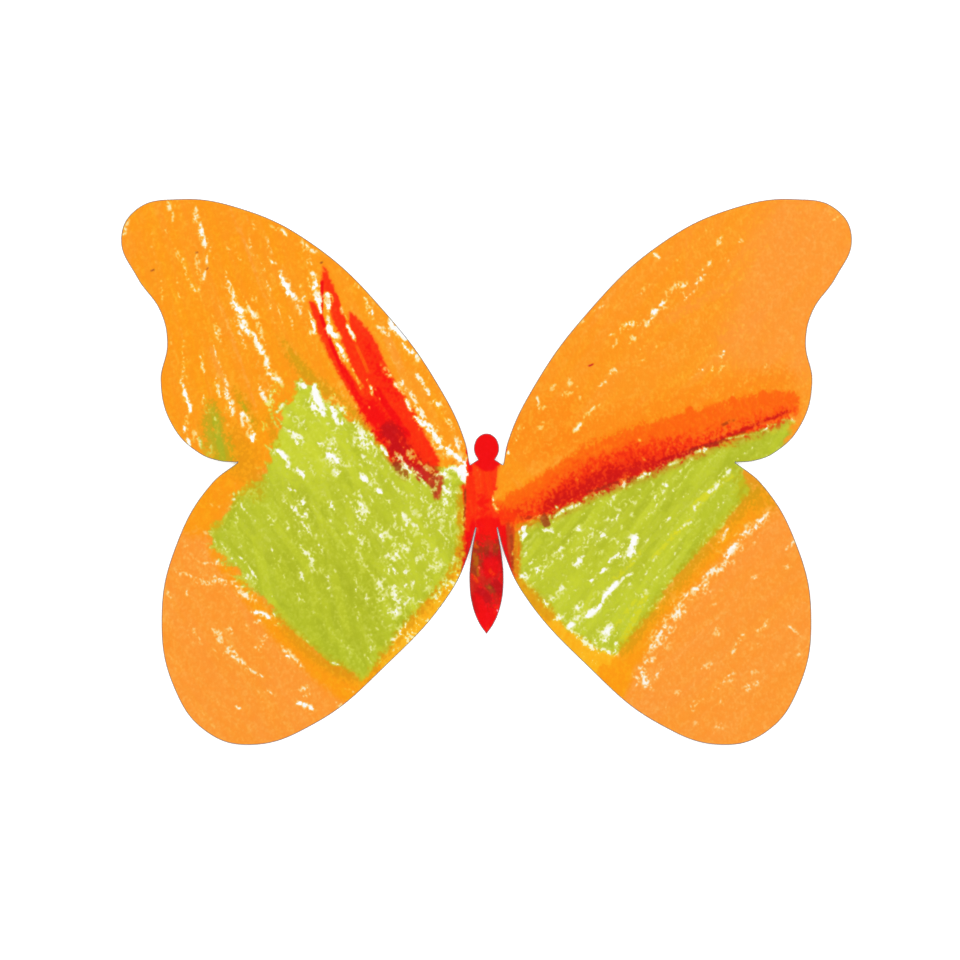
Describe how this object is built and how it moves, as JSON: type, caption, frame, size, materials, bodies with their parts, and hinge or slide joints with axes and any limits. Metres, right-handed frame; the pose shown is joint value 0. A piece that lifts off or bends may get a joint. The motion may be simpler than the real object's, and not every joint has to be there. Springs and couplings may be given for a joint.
{
  "type": "crayon butterfly cut-out",
  "caption": "Flat card butterfly cut-out coloured on its front in wax crayon, with a crease beside the narrow body so that each wing folds up.",
  "frame": {"origin": "middle of the butterfly's bounding box in plan, on the card's back face", "axes": "+X towards the wing that lies to the right when the front faces the viewer, +Y from tail to head, +Z out of the coloured front"},
  "size_m": [0.1462, 0.1092, 0.0005],
  "materials": {
    "card": "uncoated white card with a fine tooth",
    "orange_wax": "orange wax crayon, satin",
    "green_wax": "yellow-green wax crayon, satin",
    "red_wax": "red wax crayon, satin"
  },
  "bodies": {
    "body": {"body_card": "card", "body_red_wax": "red_wax", "body_orange_wax": "orange_wax"},
    "left_wing": {"left_wing_card": "card", "left_forewing_orange_wax": "orange_wax", "left_red_wax": "red_wax", "left_root_red_wax": "red_wax", "left_green_wax": "green_wax", "left_lobe_green_wax": "green_wax", "left_hindwing_orange_wax": "orange_wax"},
    "right_wing": {"right_wing_card": "card", "right_forewing_orange_wax": "orange_wax", "right_red_wax": "red_wax", "right_green_wax": "green_wax", "right_hindwing_orange_wax": "orange_wax"}
  },
  "joints": [
    {"name": "left_crease", "type": "hinge", "parent": "body", "child": "left_wing", "pos_m": [-0.0033, 0.0014, 0.0004], "axis": [-0.0963, 0.9953, 0], "range_deg": [0, 85]},
    {"name": "right_crease", "type": "hinge", "parent": "body", "child": "right_wing", "pos_m": [0.0033, 0.0014, 0.0004], "axis": [-0.0963, -0.9953, 0], "range_deg": [0, 85]}
  ]
}
